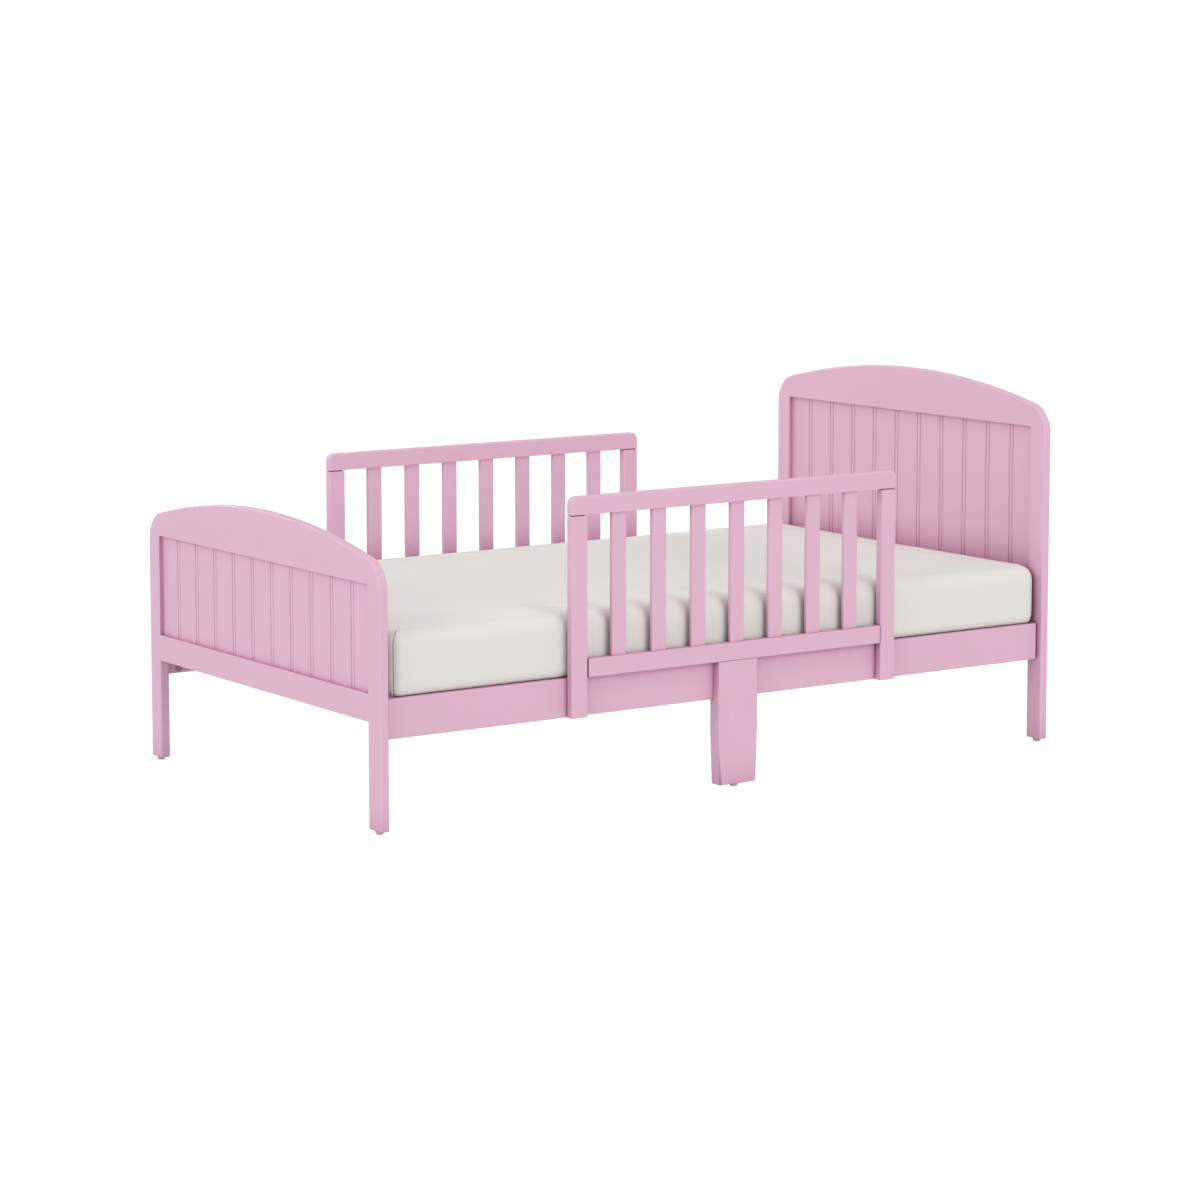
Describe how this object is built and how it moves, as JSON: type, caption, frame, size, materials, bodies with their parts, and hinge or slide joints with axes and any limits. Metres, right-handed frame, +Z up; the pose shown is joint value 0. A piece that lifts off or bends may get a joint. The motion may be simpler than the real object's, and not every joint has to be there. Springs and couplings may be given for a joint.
{
  "type": "toddler bed",
  "caption": "Low painted wooden toddler bed with arched beadboard headboard and footboard, slatted guard rails on both sides, middle legs and a mattress.",
  "frame": {"origin": "on the floor under the middle of the bed", "axes": "+X along the bed from the footboard to the headboard, +Y across it, +Z up"},
  "size_m": [1.36, 0.7716, 0.6335],
  "materials": {
    "painted_wood": "satin pink paint",
    "bare_wood": "planed pine",
    "glide_plastic": "moulded grey",
    "cam_zinc": "zinc, satin",
    "mattress_cover": "off-white knitted ticking"
  },
  "bodies": {
    "bed_frame": {"bed_slat_1": "bare_wood", "bed_slat_2": "bare_wood", "bed_slat_3": "bare_wood", "bed_slat_4": "bare_wood", "bed_slat_5": "bare_wood", "bed_slat_6": "bare_wood", "bed_slat_7": "bare_wood", "bed_slat_8": "bare_wood", "bed_slat_9": "bare_wood", "cam_lock_foot_far": "cam_zinc", "cam_lock_foot_near": "cam_zinc", "cam_lock_head_far": "cam_zinc", "cam_lock_head_near": "cam_zinc", "centre_beam": "bare_wood", "foot_arch_rail": "painted_wood", "foot_bottom_rail": "painted_wood", "foot_panel": "painted_wood", "foot_post_far": "painted_wood", "foot_post_near": "painted_wood", "glide_foot_far": "glide_plastic", "glide_foot_near": "glide_plastic", "glide_head_far": "glide_plastic", "glide_head_near": "glide_plastic", "glide_middle_far": "glide_plastic", "glide_middle_near": "glide_plastic", "guard_far_bottom_rail": "painted_wood", "guard_far_post_foot": "painted_wood", "guard_far_post_head": "painted_wood", "guard_far_slat_1": "painted_wood", "guard_far_slat_2": "painted_wood", "guard_far_slat_3": "painted_wood", "guard_far_slat_4": "painted_wood", "guard_far_slat_5": "painted_wood", "guard_far_slat_6": "painted_wood", "guard_far_slat_7": "painted_wood", "guard_far_top_rail": "painted_wood", "guard_near_bottom_rail": "painted_wood", "guard_near_post_foot": "painted_wood", "guard_near_post_head": "painted_wood", "guard_near_slat_1": "painted_wood", "guard_near_slat_2": "painted_wood", "guard_near_slat_3": "painted_wood", "guard_near_slat_4": "painted_wood", "guard_near_slat_5": "painted_wood", "guard_near_slat_6": "painted_wood", "guard_near_slat_7": "painted_wood", "guard_near_top_rail": "painted_wood", "head_arch_rail": "painted_wood", "head_bottom_rail": "painted_wood", "head_panel": "painted_wood", "head_post_far": "painted_wood", "head_post_near": "painted_wood", "middle_leg_far": "painted_wood", "middle_leg_near": "painted_wood", "side_rail_far": "painted_wood", "side_rail_near": "painted_wood", "slat_ledger_far": "painted_wood", "slat_ledger_near": "painted_wood"},
    "mattress": {"mattress": "mattress_cover"}
  },
  "joints": [
    {"name": "mattress_lift", "type": "slide", "parent": "bed_frame", "child": "mattress", "axis": [0, 0, 1], "range_m": [0, 0.45]}
  ]
}
